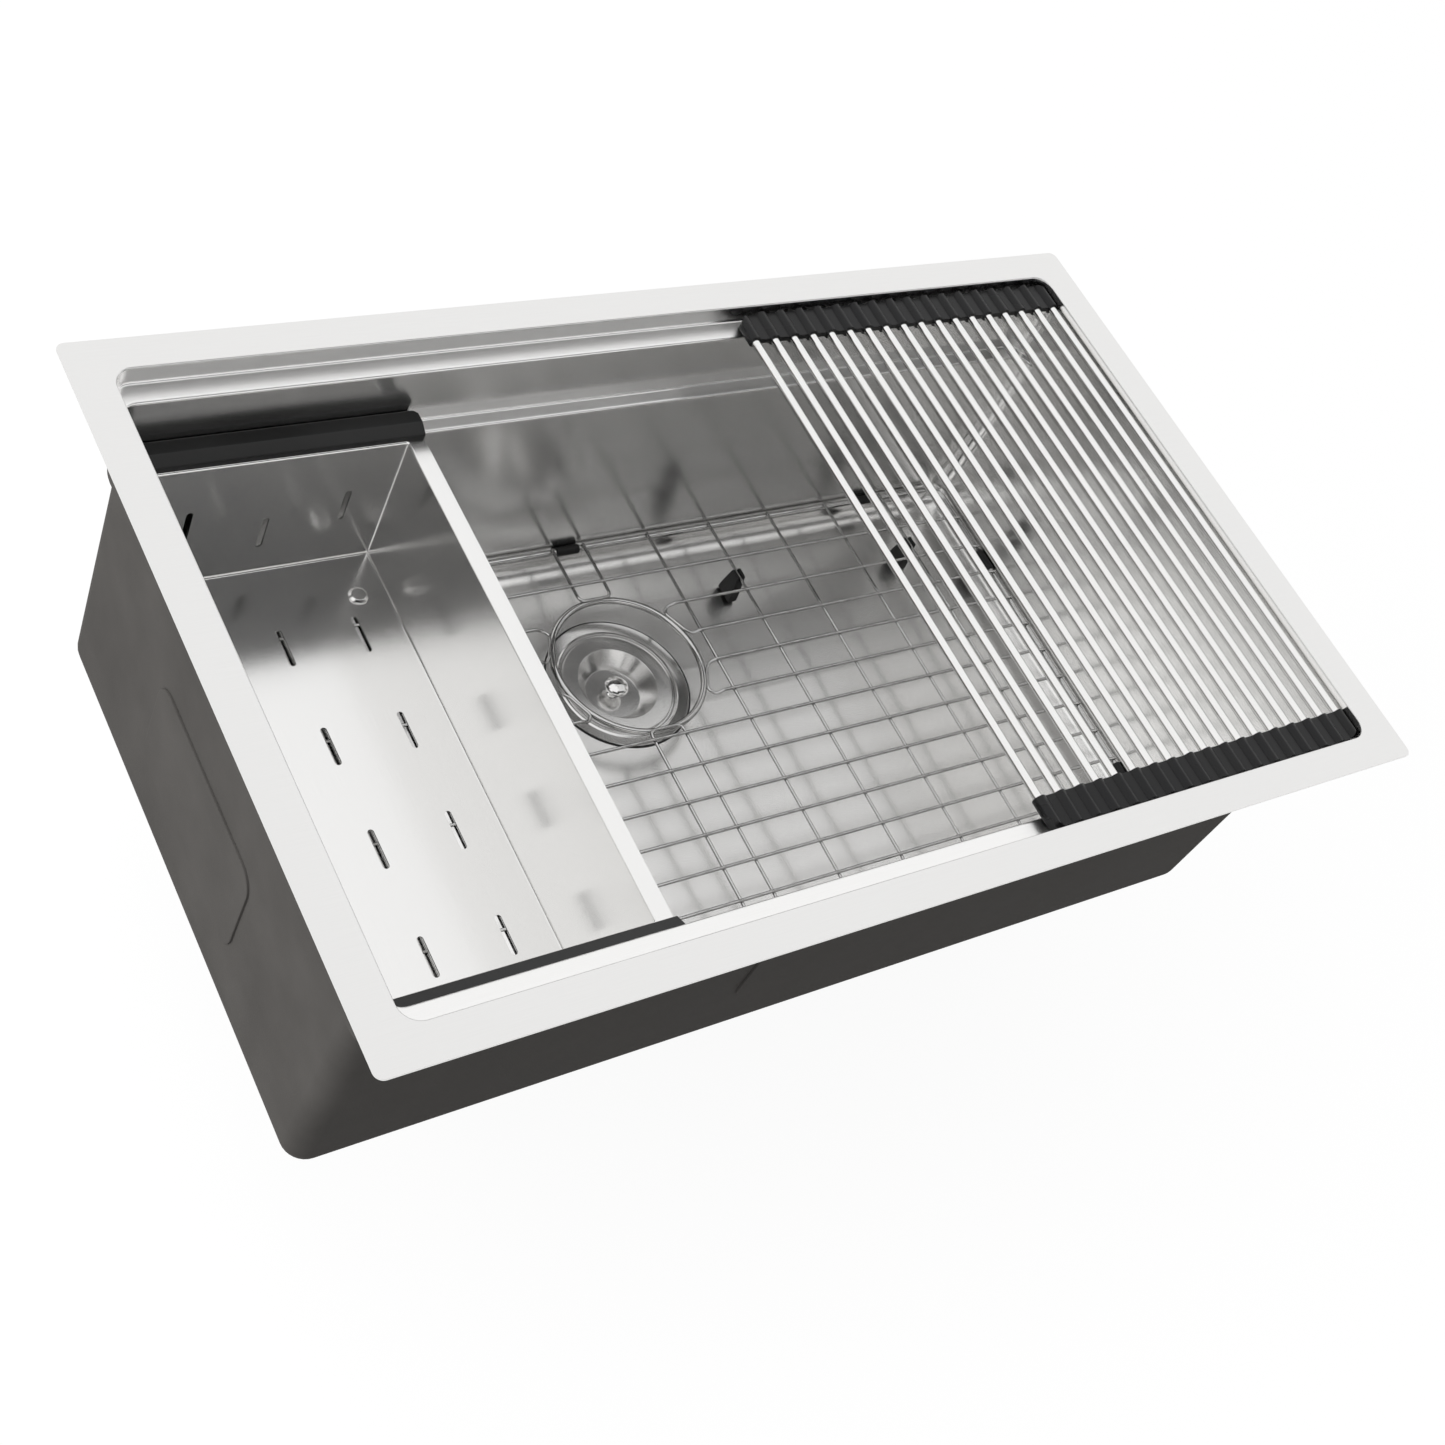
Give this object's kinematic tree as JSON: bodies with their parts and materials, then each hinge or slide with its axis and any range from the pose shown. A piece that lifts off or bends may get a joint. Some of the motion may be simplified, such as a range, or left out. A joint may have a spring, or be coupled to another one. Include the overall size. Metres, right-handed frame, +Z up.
{
  "type": "workstation kitchen sink",
  "caption": "Undermount workstation sink with ledges, a sliding colander, a roll-up drying mat, a wire bottom grid and a basket strainer.",
  "frame": {"origin": "middle of the bowl's opening, level with the top of the rim, where the worktop's underside meets it", "axes": "+X along the sink towards the mat's end, +Y to the back, +Z up"},
  "size_m": [0.8128, 0.5006, 0.3973],
  "materials": {
    "rim_steel": "satin brushed",
    "bowl_steel": "satin brushed",
    "drain_steel": "satin",
    "lid_steel": "satin, turned",
    "knob_steel": "mirror polished",
    "wire_steel": "polished",
    "tray_steel": "satin brushed",
    "rod_steel": "satin",
    "pipe_steel": "polished",
    "undercoat": "sprayed, matt and slightly rough",
    "sound_pad": "matt",
    "gasket_rubber": "matt",
    "fibre": "matt fibre",
    "nut_brass": "turned",
    "grid_rubber": "matt",
    "rail_plastic": "satin",
    "strip_silicone": "satin silicone"
  },
  "bodies": {
    "sink": {"rim_flange": "rim_steel", "bowl_shell": "bowl_steel", "left_end_wall": "bowl_steel", "right_end_wall": "bowl_steel", "undercoat": "undercoat", "left_sound_pad": "sound_pad", "right_sound_pad": "sound_pad", "front_sound_pad": "sound_pad", "back_sound_pad": "sound_pad", "strainer_body": "drain_steel", "strainer_gasket": "gasket_rubber", "friction_ring": "fibre", "locknut": "nut_brass", "tailpiece": "pipe_steel", "coupling_nut": "nut_brass"},
    "grid": {"bottom_grid": "wire_steel", "grid_foot_1": "grid_rubber", "grid_foot_2": "grid_rubber", "grid_foot_3": "grid_rubber", "grid_foot_4": "grid_rubber", "grid_foot_5": "grid_rubber", "grid_foot_6": "grid_rubber", "grid_foot_7": "grid_rubber", "grid_foot_8": "grid_rubber", "grid_bumper_1": "grid_rubber", "grid_bumper_2": "grid_rubber", "grid_bumper_3": "grid_rubber", "grid_bumper_4": "grid_rubber", "grid_bumper_5": "grid_rubber", "grid_bumper_6": "grid_rubber", "grid_bumper_7": "grid_rubber", "grid_bumper_8": "grid_rubber", "grid_bumper_9": "grid_rubber", "grid_bumper_10": "grid_rubber"},
    "colander": {"colander_tray": "tray_steel", "colander_back_rail": "rail_plastic", "colander_front_rail": "rail_plastic"},
    "mat": {"mat_back_strip": "strip_silicone", "mat_front_strip": "strip_silicone", "mat_rod_1": "rod_steel", "mat_rod_2": "rod_steel", "mat_rod_3": "rod_steel", "mat_rod_4": "rod_steel", "mat_rod_5": "rod_steel", "mat_rod_6": "rod_steel", "mat_rod_7": "rod_steel", "mat_rod_8": "rod_steel", "mat_rod_9": "rod_steel", "mat_rod_10": "rod_steel", "mat_rod_11": "rod_steel", "mat_rod_12": "rod_steel", "mat_rod_13": "rod_steel", "mat_rod_14": "rod_steel", "mat_rod_15": "rod_steel", "mat_rod_16": "rod_steel", "mat_rod_17": "rod_steel", "mat_rod_18": "rod_steel"},
    "basket": {"strainer_basket": "drain_steel"},
    "lid": {"basket_lid": "lid_steel", "lid_knob": "knob_steel"}
  },
  "joints": [
    {"name": "colander_slide", "type": "slide", "parent": "sink", "child": "colander", "axis": [1, 0, 0], "range_m": [0, 0.543]},
    {"name": "mat_slide", "type": "slide", "parent": "sink", "child": "mat", "axis": [-1, 0, 0], "range_m": [0, 0.457]},
    {"name": "grid_lift", "type": "slide", "parent": "sink", "child": "grid", "axis": [0, 0, 1], "range_m": [0, 0.038]},
    {"name": "basket_lift", "type": "slide", "parent": "sink", "child": "basket", "axis": [0, 0, 1], "range_m": [0, 0.06]},
    {"name": "lid_lift", "type": "slide", "parent": "basket", "child": "lid", "axis": [0, 0, 1], "range_m": [0, 0.04]}
  ]
}
